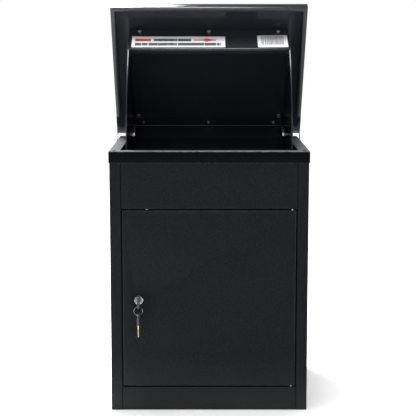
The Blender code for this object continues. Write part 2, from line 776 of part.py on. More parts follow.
def moulded_key(parent, name, to_world):
    """A brass blade and the plastic bow moulded on its root, with a slot for the ring."""
    tip = BOW_NECK + BLADE_LENGTH
    half = BLADE_THICK / 2
    blade_outline = [
        (BLADE_ROOT, -BLADE_HALF),
        (tip - 0.0030, -BLADE_HALF),
        (tip, -0.0015),
        (tip, 0.0020),
        (tip - 0.0020, BLADE_HALF),
        (BLADE_ROOT, BLADE_HALF),
    ]
    low, high = LOCK_X - half, LOCK_X + half
    blade = extruded([to_world(u, v) for u, v in blade_outline], "X", low, high)
    piece(f"{name}_blade", local(parent, blade), "brass", parent)

    corner_u, corner_v = BOW_CORNER - BOW_END, BOW_HALF - BOW_CORNER
    bow_outline = [
        (BOW_NECK, -BOW_NECK_HALF),
        (BOW_NECK, BOW_NECK_HALF),
        (BOW_NECK - BOW_CORNER, BOW_HALF),
        *arc((corner_u, corner_v), BOW_CORNER, math.pi / 2, math.pi, 6),
        *arc((corner_u, -corner_v), BOW_CORNER, math.pi, math.pi * 1.5, 6),
        (BOW_NECK - BOW_CORNER, -BOW_HALF),
    ]
    low, high = LOCK_X - BOW_HALF_THICK, LOCK_X + BOW_HALF_THICK
    bow = extruded([to_world(u, v) for u, v in bow_outline], "X", low, high)
    side = BLADE_HALF + GAP
    pocket_outline = [
        (BLADE_ROOT - GAP, -side), (BOW_NECK + 0.01, -side),
        (BOW_NECK + 0.01, side), (BLADE_ROOT - GAP, side),
    ]
    low, high = LOCK_X - half - GAP, LOCK_X + half + GAP
    pocket = extruded([to_world(u, v) for u, v in pocket_outline], "X", low, high)
    end = SLOT_REACH - SLOT_HALF
    slot_outline = [
        *arc((SLOT_U, end), SLOT_HALF, 0.0, math.pi, 8),
        *arc((SLOT_U, -end), SLOT_HALF, math.pi, math.tau, 8),
    ]
    slot = extruded([to_world(u, v) for u, v in slot_outline], "X", LOCK_X - 0.01, LOCK_X + 0.01)
    cutters = [local(parent, pocket), local(parent, slot)]
    piece(f"{name}_bow", local(parent, bow), "key_plastic", parent, cutters)


def lock_key(parent):
    """The key in the lock: its blade in the keyway and its bow standing edge-on."""
    moulded_key(parent, "lock_key", lambda u, v: (BOW_Y + u, LOCK_Z + v))


def key_ring(parent):
    """A wire ring hung in the lower end of the bow's slot, in the plane of the door."""
    circle = arc((RING_RADIUS, 0.0), WIRE_RADIUS, 0.0, math.tau, 10)[:-1]
    ring = turned(circle, "Y", (LOCK_X, RING_Y, RING_Z), 36)
    piece("key_ring", local(parent, ring), "chrome", parent)


def spare_key(parent):
    """The second key, hanging edge-on from the ring by the middle of its slot."""
    moulded_key(parent, "spare_key", lambda u, v: (RING_Y + v, SPARE_Z - u))


# ---------------------------------------------------------------- assembly
def build():
    clear_scene()
    side_panels()
    back_panel()
    base_panel()
    front_panels()
    top_collar()
    door_stops()
    door_pins()
    lid_pivots()
    buffers_and_grommets()

    lid_axis = pivot("lid_axis", (0.0, PIVOT_Y, PIVOT_Z), -LID_OPEN)
    lid_panel(lid_axis)
    scoop_ledge(lid_axis)
    scoop_sides(lid_axis)
    scoop_floor(lid_axis)
    scoop_fixings(lid_axis)
    labels(lid_axis)

    door_axis = pivot("door_axis", (DOOR_AXIS_X, DOOR_AXIS_Y, 0.0))
    lock_axis = pivot("lock_axis", (LOCK_X, FRONT_Y, LOCK_Z))
    ring_axis = pivot("ring_axis", (LOCK_X, RING_Y, RING_TOP_Z))
    spare_axis = pivot("spare_key_axis", (LOCK_X, RING_Y, RING_LOW_Z))
    bpy.context.view_layer.update()
    door_panel(door_axis)
    door_stiffener(door_axis)
    door_lock(door_axis)
    lock_plug(lock_axis)
    lock_key(lock_axis)
    key_ring(ring_axis)
    spare_key(spare_axis)


build()
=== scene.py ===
"""Looks of a free-standing steel parcel drop box with its lid open."""
import json
import math

import bmesh
import bpy
from mathutils import Matrix, Vector


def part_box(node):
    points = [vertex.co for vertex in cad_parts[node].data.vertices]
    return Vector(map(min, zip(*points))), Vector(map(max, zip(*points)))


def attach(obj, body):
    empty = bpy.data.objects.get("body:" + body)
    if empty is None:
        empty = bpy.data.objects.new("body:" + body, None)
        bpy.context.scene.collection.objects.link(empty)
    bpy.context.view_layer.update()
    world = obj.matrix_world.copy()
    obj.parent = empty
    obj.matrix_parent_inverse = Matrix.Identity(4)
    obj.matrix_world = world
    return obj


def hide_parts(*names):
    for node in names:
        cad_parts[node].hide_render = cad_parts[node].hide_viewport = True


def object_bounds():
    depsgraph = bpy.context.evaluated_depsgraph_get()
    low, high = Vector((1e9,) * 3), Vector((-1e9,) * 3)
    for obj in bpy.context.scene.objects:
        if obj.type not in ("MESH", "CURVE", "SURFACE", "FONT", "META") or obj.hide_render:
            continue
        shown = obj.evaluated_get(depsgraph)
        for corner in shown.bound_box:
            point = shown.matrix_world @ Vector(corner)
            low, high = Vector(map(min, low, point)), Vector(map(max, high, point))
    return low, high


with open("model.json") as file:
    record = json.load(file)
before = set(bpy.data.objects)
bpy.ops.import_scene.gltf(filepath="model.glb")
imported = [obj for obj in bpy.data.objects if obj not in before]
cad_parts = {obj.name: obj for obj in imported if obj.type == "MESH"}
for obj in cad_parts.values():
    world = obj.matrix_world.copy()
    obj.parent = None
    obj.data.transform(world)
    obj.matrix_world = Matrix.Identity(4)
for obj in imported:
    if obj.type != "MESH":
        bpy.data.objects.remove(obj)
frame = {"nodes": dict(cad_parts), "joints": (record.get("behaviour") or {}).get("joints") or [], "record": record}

cad_low, cad_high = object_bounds()

# the lid's pieces are modelled shut, about the pivot line, and then swung open
JOINTS = {joint["name"]: joint for joint in frame["joints"]}
LID_PIVOT = Vector(JOINTS["lid_hinge"]["pos_m"])
LID_OPEN = math.radians(JOINTS["lid_hinge"]["range_deg"][1])
LID_FRAME = Matrix.Translation(LID_PIVOT) @ Matrix.Rotation(-LID_OPEN, 4, "X")
AS_DRAWN = Matrix.Identity(4)

# thin and thick sheet, the outer radius of a fold, and what is broken off a sheared edge
SHEET = 0.0012
PLATE = 0.0015
BEND = 0.0018
BURR = 0.0002

# how far a direction leans to an axis: mostly along it, square to its face, or barely at all
ALONG = 0.9
SQUARE = 0.99
ACROSS = 0.1


def shut_box(node):
    """The lowest and highest corners of a lid node, in the lid's own frame."""
    turned_back = LID_FRAME.inverted()
    places = [turned_back @ vert.co for vert in frame["nodes"][node].data.vertices]
    low = Vector(min(place[i] for place in places) for i in range(3))
    high = Vector(max(place[i] for place in places) for i in range(3))
    return low, high


# ---------------------------------------------------------------- shader maths
class Signal:
    """A shader socket that can be added, multiplied and compared like a number."""

    def __init__(self, finish, socket):
        self.finish = finish
        self.socket = socket

    def maths(self, operation, first, second=0.0):
        return self.finish.node("ShaderNodeMath", {"operation": operation}, {0: first, 1: second})

    def __add__(self, other):
        return self.maths("ADD", self, other)

    def __sub__(self, other):
        return self.maths("SUBTRACT", self, other)

    def __rsub__(self, other):
        return self.maths("SUBTRACT", other, self)

    def __mul__(self, other):
        return self.maths("MULTIPLY", self, other)

    def __gt__(self, other):
        return self.maths("GREATER_THAN", self, other)

    def __lt__(self, other):
        return self.maths("LESS_THAN", self, other)

    def __abs__(self):
        return self.maths("ABSOLUTE", self)

    __radd__ = __add__


class Finish:
    """A material in the making."""

    def __init__(self, name):
        self.material = bpy.data.materials.new(name)
        self.material.use_nodes = True
        self.tree = self.material.node_tree
        self.shader = self.tree.nodes["Principled BSDF"]
        self.place = self.node("ShaderNodeTexCoord", output="Object")

    def node(self, kind, settings=(), inputs=(), output=0):
        """Adds a node, sets it up, feeds its sockets and returns one of its outputs."""
        node = self.tree.nodes.new(kind)
        for name, value in dict(settings).items():
            if name == "stops":
                self.set_stops(node.color_ramp, value)
            else:
                setattr(node, name, value)
        for name, value in dict(inputs).items():
            self.feed(node.inputs[name], value)
        return Signal(self, node.outputs[output])

    def set_stops(self, ramp, stops):
        """Gives a ramp its grey stops."""
        while len(ramp.elements) < len(stops):
            ramp.elements.new(0.5)
        for element, (position, shade) in zip(ramp.elements, stops):
            element.position = position
            element.color = (shade, shade, shade, 1.0)

    def feed(self, socket, value):
        """Links a signal to a socket, or sets the socket to a plain value."""
        if isinstance(value, Signal):
            self.tree.links.new(value.socket, socket)
        else:
            socket.default_value = value

    def paint(self, **sockets):
        """Feeds the shader's own sockets, such as Base_Color or Roughness."""
        for name, value in sockets.items():
            self.feed(self.shader.inputs[name.replace("_", " ")], value)
        return self.material

    def noise(self, scale, detail=2.0, stretch=(1.0, 1.0, 1.0), roughness=0.5):
        """Cloudy noise with so many cycles in a metre."""
        place = self.node("ShaderNodeMapping", inputs={"Vector": self.place, "Scale": stretch})
        inputs = {"Vector": place, "Scale": scale, "Detail": detail, "Roughness": roughness}
        return self.node("ShaderNodeTexNoise", inputs=inputs)

    def ramp(self, signal, *stops):
        """Grey levels between the stops given as (position, shade) pairs."""
        return self.node("ShaderNodeValToRGB", {"stops": stops}, {"Fac": signal})

    def blend(self, amount, first, second):
        """A colour part way from the first to the second."""
        inputs = {0: amount, 6: first, 7: second}
        return self.node("ShaderNodeMix", {"data_type": "RGBA"}, inputs, output=2)

    def bump(self, height, distance, below=None):
        """A bumped normal: the height is from 0 to 1 and the distance is its depth in metres."""
        inputs = {"Height": height, "Distance": distance, "Strength": 1.0}
        if below is not None:
            inputs["Normal"] = below
        return self.node("ShaderNodeBump", inputs=inputs)

    def marked(self, name):
        """1 on the faces that a piece marks with this name, such as its folds, and 0 elsewhere."""
        return self.node("ShaderNodeAttribute", {"attribute_name": name}, output="Fac")


def rgb(red, green, blue):
    """An opaque colour."""
    return (red, green, blue, 1.0)


# ---------------------------------------------------------------- finishes
# a bluish black with darker and lighter grains, under flecks of dust, a painted floor bounce,
# painted sheen on upward faces, and folds lightened by wear and, on the rim, by a painted highlight
POWDER_TINT = (0.86, 1.0, 1.28)
DARKEST, LIGHTEST = 0.30, 1.70
FLECK_GREY = rgb(0.16, 0.16, 0.155)
FLOOR_BOUNCE_GREY = rgb(0.12, 0.12, 0.125)
TOP_SHEEN_GREY = rgb(0.12, 0.12, 0.122)
FOLD_WEAR_AND_SHEEN_GREY = rgb(0.24, 0.24, 0.25)
BOUNCE_REACH = 0.125


def powder_coat(name, shade, roughness, gloss, edge):
    """Fine-textured baked powder, slightly wavy over the sheet, worn along the folds.

    A large edge amount lightens the folds into a painted highlight. Upward faces get a painted
    sheen, and a painted floor bounce lightens the coat from the floor up to its reach.
    """
    finish = Finish(name)
    grain = finish.noise(1500, 2.0)
    pebble = finish.noise(520, 3.0, roughness=0.6)
    sheet_wave = finish.noise(9, 1.0)
    cloud = finish.noise(14, 4.0)
    mottle = finish.ramp(finish.noise(330, 2.0), (0.30, 0.0), (0.70, 1.0))
    dust = finish.ramp(finish.noise(420, 2.0), (0.70, 0.0), (0.76, 1.0))
    fold_patches = finish.marked("wear") * finish.ramp(finish.noise(60, 4.0), (0.30, 0.3), (0.60, 1.0))
    height = finish.node("ShaderNodeSeparateXYZ", inputs={0: finish.place}, output=2)
    # painted floor bounce: a lighter grey fades in from the floor up to its reach, standing in for light bounced
    # off the floor
    painted_floor_bounce = finish.ramp(height * (1 / BOUNCE_REACH), (0.0, 1.0), (0.42, 0.42), (1.0, 0.0))
    # painted sheen: faces that point upward are lightened, standing in for light falling on them from above
    painted_top_sheen = finish.marked("upward") * (0.55 + cloud * 0.70)
    dark, light = (
        rgb(*(shade * part * hue for hue in POWDER_TINT)) for part in (DARKEST, LIGHTEST)
    )
    colour = finish.blend(cloud * 0.3 + mottle * 0.7, dark, light)
    colour = finish.blend(dust * 0.10, colour, FLECK_GREY)
    colour = finish.blend(painted_floor_bounce * (0.12 + cloud * 0.12), colour, FLOOR_BOUNCE_GREY)
    colour = finish.blend(painted_top_sheen * 0.80, colour, TOP_SHEEN_GREY)
    # the folds are lightened by the edge amount: worn paint on the body coat, a painted highlight on the rim coat
    colour = finish.blend(fold_patches * edge, colour, FOLD_WEAR_AND_SHEEN_GREY)
    normal = finish.bump(sheet_wave, 0.0012)
    normal = finish.bump(pebble, 0.00022, normal)
    normal = finish.bump(grain, 0.00006, normal)
    return finish.paint(
        Base_Color=colour,
        Roughness=roughness + cloud * 0.10 + pebble * 0.08 - fold_patches * 0.12,
        Normal=normal,
        Specular_IOR_Level=gloss,
    )


def lid_enamel(name, roughness):
    """Smooth semi-gloss black with a slight orange peel, smears and specks of dust."""
    finish = Finish(name)
    peel = finish.noise(330, 2.0)
    wave = finish.noise(7, 1.0)
    smear = finish.noise(22, 5.0, stretch=(1.0, 0.35, 0.6))
    speck = finish.ramp(finish.noise(650, 1.0), (0.72, 0.0), (0.76, 1.0))
    cloud = finish.noise(9, 3.0)
    fold_patches = finish.marked("wear") * finish.ramp(finish.noise(75, 4.0), (0.42, 0.0), (0.60, 1.0))
    colour = finish.blend(cloud, rgb(0.0120, 0.0142, 0.0200), rgb(0.0180, 0.0205, 0.0275))
    colour = finish.blend(speck * 0.12, colour, rgb(0.20, 0.20, 0.20))
    colour = finish.blend(fold_patches * 0.08, colour, rgb(0.16, 0.16, 0.165))
    normal = finish.bump(wave, 0.0010)
    normal = finish.bump(peel, 0.00005, normal)
    return finish.paint(
        Base_Color=colour,
        Roughness=roughness + smear * 0.14 + speck * 0.25,
        Normal=normal,
        Coat_Weight=finish.ramp(smear, (0.30, 0.10), (0.70, 0.02)),
        Coat_Roughness=0.10,
        Specular_IOR_Level=0.38,
    )


def zinc():
    """Bright zinc plating with a faint spangle and dull patches."""
    finish = Finish("zinc plate")
    spangle = finish.node("ShaderNodeTexVoronoi", inputs={"Vector": finish.place, "Scale": 700.0})
    dull = finish.noise(160, 4.0)
    turned = finish.noise(2400, 2.0, stretch=(1.0, 1.0, 0.25))
    colour = finish.blend(dull * 0.7 + spangle * 0.3, rgb(0.42, 0.43, 0.45), rgb(0.70, 0.71, 0.72))
    return finish.paint(
        Base_Color=colour,
        Metallic=1.0,
        Roughness=0.24 + dull * 0.26,
        Normal=finish.bump(turned, 0.00003),
    )


def chrome():
    """Polished plate with fine wiping scratches and a breath of haze."""
    finish = Finish("chrome plate")
    haze = finish.ramp(finish.noise(260, 3.0), (0.40, 0.0), (0.62, 1.0))
    scratch = finish.noise(3200, 3.0, stretch=(0.15, 1.0, 1.0))
    colour = finish.blend(haze, rgb(0.10, 0.10, 0.11), rgb(0.52, 0.51, 0.52))
    return finish.paint(
        Base_Color=colour,
        Metallic=1.0,
        Roughness=0.08 + haze * 0.14 + scratch * 0.08,
        Normal=finish.bump(scratch, 0.00001),
    )


def lock_steel():
    """Satin plated steel, turned across its face, with a darker bloom."""
    finish = Finish("lock steel")
    bloom = finish.noise(320, 3.0)
    turned = finish.noise(2600, 2.0)
    colour = finish.blend(bloom, rgb(0.10, 0.10, 0.11), rgb(0.22, 0.22, 0.23))
    return finish.paint(
        Base_Color=colour,
        Metallic=1.0,
        Roughness=0.30 + bloom * 0.18,
        Normal=finish.bump(turned, 0.00002),
    )


def brass():
    """Milled key brass, brushed along the blade and tarnished in patches."""
    finish = Finish("key brass")
    tarnish = finish.noise(380, 4.0)
    brushed = finish.noise(5200, 2.0, stretch=(1.0, 1.0, 0.08))
    colour = finish.blend(tarnish, rgb(0.46, 0.38, 0.22), rgb(0.72, 0.64, 0.42))
    return finish.paint(
        Base_Color=colour,
        Metallic=1.0,
        Roughness=0.22 + tarnish * 0.22 + brushed * 0.08,
        Normal=finish.bump(brushed, 0.00002),
    )


def rubber():
    """Dull moulded rubber with a bloom of talc."""
    finish = Finish("rubber")
    bloom = finish.noise(260, 4.0)
    grain = finish.noise(2600, 2.0)
    colour = finish.blend(bloom, rgb(0.012, 0.012, 0.012), rgb(0.040, 0.040, 0.039))
    return finish.paint(
        Base_Color=colour,
        Roughness=0.62 + bloom * 0.25,
        Normal=finish.bump(grain, 0.00008),
        Specular_IOR_Level=0.35,
    )


def nylon():
    """Natural nylon, slightly translucent and yellowed in places."""
    finish = Finish("nylon")
    cloud = finish.noise(300, 3.0)
    grain = finish.noise(1900, 2.0)
    colour = finish.blend(cloud, rgb(0.52, 0.51, 0.47), rgb(0.70, 0.69, 0.64))
    return finish.paint(
        Base_Color=colour,
        Roughness=0.38 + cloud * 0.18,
        Normal=finish.bump(grain, 0.00005),
        Subsurface_Weight=0.05,
    )


def key_plastic():
    """Dark moulded key head with a spark-eroded texture, polished where it is held."""
    finish = Finish("key plastic")
    held = finish.noise(120, 2.0)
    grain = finish.noise(2100, 2.0)
    colour = finish.blend(held, rgb(0.020, 0.023, 0.030), rgb(0.045, 0.050, 0.062))
    return finish.paint(
        Base_Color=colour,
        Roughness=0.30 + held * 0.22,
        Normal=finish.bump(grain, 0.00005),
    )


# ---------------------------------------------------------------- printed film
def band(along, start, end):
    """1 between two places along a line and 0 outside them."""
    return (along > start) * (along < end)


def film(finish, ink_layers):
    """White film with slight yellowing, scuffs and a soft sheen, under layers of ink."""
    cloud = finish.noise(45, 4.0)
    scuff = finish.ramp(finish.noise(240, 5.0), (0.60, 0.0), (0.72, 1.0))
    colour = finish.blend(cloud, rgb(0.78, 0.79, 0.82), rgb(0.88, 0.88, 0.88))
    for amount, ink in ink_layers:
        colour = finish.blend(amount * (1 - scuff * 0.25), colour, ink)
    return finish.paint(
        Base_Color=colour,
        Roughness=0.34 + cloud * 0.14 + scuff * 0.12,
        Normal=finish.bump(cloud, 0.00015),
    )


def label_place(finish):
    """How far across and up the label a point lies, each from 0 to 1."""
    place = finish.node("ShaderNodeUVMap", {"uv_map": "label"})
    across, up = (
        finish.node("ShaderNodeSeparateXYZ", inputs={0: place}, output=axis) for axis in (0, 1)
    )
    return place, across, up


def strokes(finish, place, across_cycles, threshold):
    """Upright strokes of uneven width and spacing, standing in for a printed line."""
    up_cycles = 0.02
    stretch = (across_cycles, up_cycles, 1.0)
    thin = finish.node("ShaderNodeMapping", inputs={"Vector": place, "Scale": stretch})
    cells = finish.node("ShaderNodeTexNoise", inputs={"Vector": thin, "Scale": 1.0, "Detail": 1.0})
    return cells > threshold


def notice_film():
    """A red block, a dark bar of strokes and a red arrow above a second bar of strokes."""
    finish = Finish("notice film")
    place, across, up = label_place(finish)
    left, block_end, text_start, text_end, right = 0.035, 0.205, 0.235, 0.635, 0.955
    shaft_start, barb_start, head_start, tip = 0.665, 0.740, 0.790, 0.905
    row_middle, shaft_half, head_slope, barb_slope = 0.66, 0.055, 1.5, 2.4
    top_row = band(up, 0.54, 0.78)
    low_row = band(up, 0.14, 0.40)
    marks = strokes(finish, place, 60.0, 0.38)
    red_block = top_row * band(across, left, block_end) * strokes(finish, place, 45.0, 0.33)
    dark_bars = top_row * band(across, text_start, text_end) * marks
    dark_bars = dark_bars + low_row * band(across, left, right) * marks
    from_middle = abs(up - row_middle)
    shaft = band(across, shaft_start, tip) * (from_middle < shaft_half)
    head = band(across, head_start, tip) * (from_middle < (tip - across) * head_slope)
    barb_edge = (across - barb_start) * barb_slope
    barbs = band(across, barb_start, head_start) * (from_middle < barb_edge)
    arrow = finish.ramp(shaft + head + barbs, (0.0, 0.0), (0.5, 1.0))
    red = rgb(0.62, 0.035, 0.030)
    ink = rgb(0.045, 0.050, 0.085)
    return film(finish, [(dark_bars, ink), (red_block, red), (arrow, red)])


def code_film():
    """A block of upright bars of uneven width."""
    finish = Finish("code film")
    place, across, up = label_place(finish)
    field = band(across, 0.13, 0.87) * band(up, 0.20, 0.93)
    bars = field * strokes(finish, place, 70.0, 0.50)
    return film(finish, [(bars, rgb(0.13, 0.13, 0.14))])


def studio_floor():
    """A seamless matt sheet, very slightly uneven."""
    finish = Finish("studio floor")
    cloud = finish.noise(3, 3.0)
    fibre = finish.noise(700, 2.0)
    colour = finish.blend(cloud, rgb(0.86, 0.86, 0.86), rgb(0.90, 0.90, 0.90))
    return finish.paint(
        Base_Color=colour,
        Roughness=0.80 + cloud * 0.10,
        Normal=finish.bump(fibre, 0.0001),
        Specular_IOR_Level=0.1,
    )


FINISHES = {
    "powder_coat": powder_coat(
        "black powder coat", shade=0.0078, roughness=0.50, gloss=0.10, edge=0.10
    ),
    "lid_enamel": lid_enamel("lid enamel", roughness=0.11),
    "zinc_steel": zinc(),
    "chrome_plate": chrome(),
    "brass": brass(),
    "rubber": rubber(),
    "nylon": nylon(),
    "key_plastic": key_plastic(),
}
# the rim's folds are lightened far more than wear would do, a painted highlight along its bends
RIM_COAT = powder_coat("rim powder coat", shade=0.0022, roughness=0.40, gloss=0.04, edge=0.60)
NOTICE_FILM = notice_film()
CODE_FILM = code_film()


# ---------------------------------------------------------------- modelling by hand
def deselect():
    """Leaves edit mode with nothing selected."""
    if bpy.context.mode != "OBJECT":
        bpy.ops.object.mode_set(mode="OBJECT")
    bpy.ops.object.select_all(action="DESELECT")


def named(name):
    """Takes the primitive just added, names it and opens it with nothing selected."""
    piece = bpy.context.object
    piece.name = name
    piece.data.name = name
    bpy.ops.object.transform_apply(location=True, rotation=True, scale=True)
    bpy.ops.object.mode_set(mode="EDIT")
    bpy.ops.mesh.select_all(action="DESELECT")
    return piece


def brick(name, low, high):
    """A block between two corners."""
    deselect()
    low, high = Vector(low), Vector(high)
    bpy.ops.mesh.primitive_cube_add(size=1.0, location=(low + high) / 2, scale=high - low)
    return named(name)


TURN = {"X": (0.0, math.pi / 2, 0.0), "Y": (math.pi / 2, 0.0, 0.0), "Z": (0.0, 0.0, 0.0)}


def barrel(name, axis, centre, radius, length, sides=32):
    """A round bar about an axis, with its middle at the centre."""
    deselect()
    bpy.ops.mesh.primitive_cylinder_add(
        vertices=sides, radius=radius, depth=length, location=centre, rotation=TURN[axis]
    )
    return named(name)


def disc(name, axis, centre, radius, sides):
    """A flat round plate with no thickness."""
    deselect()
    bpy.ops.mesh.primitive_circle_add(
        vertices=sides, radius=radius, fill_type="NGON", location=centre, rotation=TURN[axis]
    )
    return named(name)


def choose(kind, test):
    """Selects the faces, edges or corners whose middle and direction pass the test.

    The direction is a face's or a corner's normal, or the way that an edge runs.
    """
    bpy.ops.mesh.select_mode(type=kind)
    bpy.ops.mesh.select_all(action="DESELECT")
    data = bpy.context.object.data
    mesh = bmesh.from_edit_mesh(data)
    if kind == "FACE":
        parts = [(f, f.calc_center_median(), f.normal) for f in mesh.faces]
    elif kind == "EDGE":
        ends = [(e, e.verts[0].co, e.verts[1].co) for e in mesh.edges]
        parts = [(e, (a + b) / 2, (b - a).normalized()) for e, a, b in ends]
    else:
        parts = [(v, v.co, v.normal) for v in mesh.verts]
    chosen = [part for part, middle, direction in parts if test(middle, direction)]
    for part in chosen:
        part.select_set(True)
    mesh.select_flush_mode()
    bmesh.update_edit_mesh(data)


def near(first, second, reach=1e-5):
    """Whether two measures are the same, within a reach."""
    return abs(first - second) < reach


def cut_across(point, normal, keep_below=False, keep_above=False):
    """Cuts the whole mesh with a plane, and may keep one side only."""
    bpy.ops.mesh.select_all(action="SELECT")
    bpy.ops.mesh.bisect(
        plane_co=point, plane_no=normal, clear_outer=keep_below, clear_inner=keep_above
    )


def push(offset):
    """Extrudes what is selected by an offset."""
    bpy.ops.mesh.extrude_region_move(TRANSFORM_OT_translate={"value": offset})


def push_edges(offset):
    """Extrudes the selected edges by an offset."""
    bpy.ops.mesh.extrude_edges_move(TRANSFORM_OT_translate={"value": offset})


def apply(piece, kind, **settings):
    """Adds one modifier, sets it and applies it."""
    deselect()
    piece.select_set(True)
    bpy.context.view_layer.objects.active = piece
    step = piece.modifiers.new(kind.lower(), kind)
    for name, value in settings.items():
        setattr(step, name, value)
    bpy.ops.object.modifier_apply(modifier=step.name)


def thicken(piece, thickness):
    """Gives a shell its sheet thickness, inwards from the skin."""
    apply(piece, "SOLIDIFY", thickness=thickness, offset=-1.0, use_even_offset=True)


def break_edges(piece, width=BURR, segments=2):
    """Takes the sharpness off each hard edge."""
    settings = {"width": width, "segments": segments, "limit_method": "ANGLE"}
    apply(piece, "BEVEL", angle_limit=math.radians(40), **settings)


def cut_out(piece, cutter, operation="DIFFERENCE"):
    """Cuts one piece with another, which is then thrown away."""
    if bpy.context.mode != "OBJECT":
        bpy.ops.object.mode_set(mode="OBJECT")
    apply(piece, "BOOLEAN", object=cutter, operation=operation, solver="EXACT")
    bpy.data.objects.remove(cutter)


def mark_faces(piece):
    """Notes which faces lie on folds and edges, off the three main directions, or face upward."""
    flat = 0.985
    wear = piece.data.attributes.new("wear", "FLOAT", "FACE")
    upward = piece.data.attributes.new("upward", "FLOAT", "FACE")
    for face in piece.data.polygons:
        on_edge = max(abs(part) for part in face.normal) < flat
        wear.data[face.index].value = float(on_edge)
        upward.data[face.index].value = float(face.normal.z > flat)


def finish_piece(piece, body, slot, nodes, material=None, turn=AS_DRAWN, fold_and_top_marks=True):
    """Shades a piece, puts it in its place and hands it to its body."""
    deselect()
    if fold_and_top_marks:
        mark_faces(piece)
    piece.select_set(True)
    bpy.context.view_layer.objects.active = piece
    bpy.ops.object.shade_smooth_by_angle(angle=math.radians(35))
    piece.data.transform(turn)
    piece.data.materials.clear()
    piece.data.materials.append(material or FINISHES[slot])
    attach(piece, body)
    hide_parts(*nodes)


def copy_to(pattern, name, place):
    """A copy of a pattern with its own mesh, moved to its place."""
    twin = pattern.copy()
    twin.data = pattern.data.copy()
    twin.name = name
    twin.data.name = name
    twin.data.transform(place)
    bpy.context.scene.collection.objects.link(twin)
    return twin


# ---------------------------------------------------------------- door and housing
LOCK_CENTRE = Vector(JOINTS["lock_turn"]["pos_m"])
DOOR_AXIS = Vector(JOINTS["door_hinge"]["pos_m"])
LOCK_HOLE = 0.0083
PIN_HOLE = 0.0028
PIVOT_HOLE = 0.0036
# how far a cutter runs past a face, and the length of one that reaches across the whole box
OVERRUN = 0.010
THROUGH = 0.5


def door_skin():
    """The door's face with its four folded returns, drilled for the lock and the hinge pins."""
    low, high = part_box("door_panel")
    piece = brick("door_skin", low, high)
    choose("FACE", lambda middle, facing: facing.y > ALONG)
    bpy.ops.mesh.delete(type="FACE")
    choose("EDGE", lambda middle, run: near(middle.y, low.y))
    bpy.ops.mesh.bevel(offset=BEND, segments=4, affect="EDGES")
    thicken(piece, SHEET)
    cut_out(piece, barrel("lock_hole", "Y", LOCK_CENTRE, LOCK_HOLE, OVERRUN))
    pins = Vector((DOOR_AXIS.x, DOOR_AXIS.y, (low.z + high.z) / 2))
    cut_out(piece, barrel("pin_holes", "Z", pins, PIN_HOLE, high.z - low.z + OVERRUN))
    break_edges(piece)
    finish_piece(piece, "door", "powder_coat", ["door_panel"])


def rim_collar():
    """The capping round the top of the housing, folded down outside and round its mouth."""
    low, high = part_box("top_collar")
    mouth_x, mouth_front, mouth_back, turned_down, slack = 0.197, -0.162, 0.172, 0.006, 0.0001
    piece = brick("rim_collar", low, high)
    choose("FACE", lambda middle, facing: facing.z < -ALONG)
    bpy.ops.mesh.delete(type="FACE")
    choose("EDGE", lambda middle, run: near(middle.z, high.z))
    bpy.ops.mesh.bevel(offset=BEND, segments=4, affect="EDGES")
    for place, normal in (
        ((mouth_x, 0, 0), (1, 0, 0)),
        ((-mouth_x, 0, 0), (1, 0, 0)),
        ((0, mouth_front, 0), (0, 1, 0)),
        ((0, mouth_back, 0), (0, 1, 0)),
    ):
        cut_across(place, normal)
    choose(
        "FACE",
        lambda middle, facing: facing.z > SQUARE
        and abs(middle.x) < mouth_x
        and mouth_front < middle.y < mouth_back,
    )
    bpy.ops.mesh.delete(type="FACE")
    choose(
        "EDGE",
        lambda middle, run: near(middle.z, high.z)
        and mouth_front - slack < middle.y < mouth_back + slack
        and abs(middle.x) < mouth_x + slack
        and (near(abs(middle.x), mouth_x) or near(middle.y, mouth_front)
             or near(middle.y, mouth_back)),
    )
    push_edges((0, 0, -turned_down))
    thicken(piece, SHEET)
    bolts = Vector((0.0, LID_PIVOT.y, LID_PIVOT.z))
    cut_out(piece, barrel("bolt_holes", "X", bolts, PIVOT_HOLE, THROUGH))
    break_edges(piece)
    finish_piece(piece, "housing", "powder_coat", ["top_collar"], RIM_COAT)


# ---------------------------------------------------------------- lid and scoop
def lid_lug(middle_x, radius, height):
    """A flat ear: round below the pivot line and tapered up to the lid's rear edge."""
    ear = barrel("lid_lug", "X", (middle_x, 0.0, 0.0), radius, SHEET, sides=48)
    cut_across((0, 0, 0), (0, 0, 1), keep_below=True)
    choose("EDGE", lambda middle, run: near(middle.z, 0.0))
    bpy.ops.mesh.edge_face_add()
    push((0, 0, height))
    choose("VERT", lambda place, facing: place.y > 0 and place.z > height / 2)
    bpy.ops.transform.translate(value=(0.0, -radius, 0.0))
    bpy.ops.mesh.select_all(action="SELECT")
    bpy.ops.mesh.dissolve_limited(angle_limit=math.radians(1))
    bpy.ops.mesh.normals_make_consistent(inside=False)
    return ear


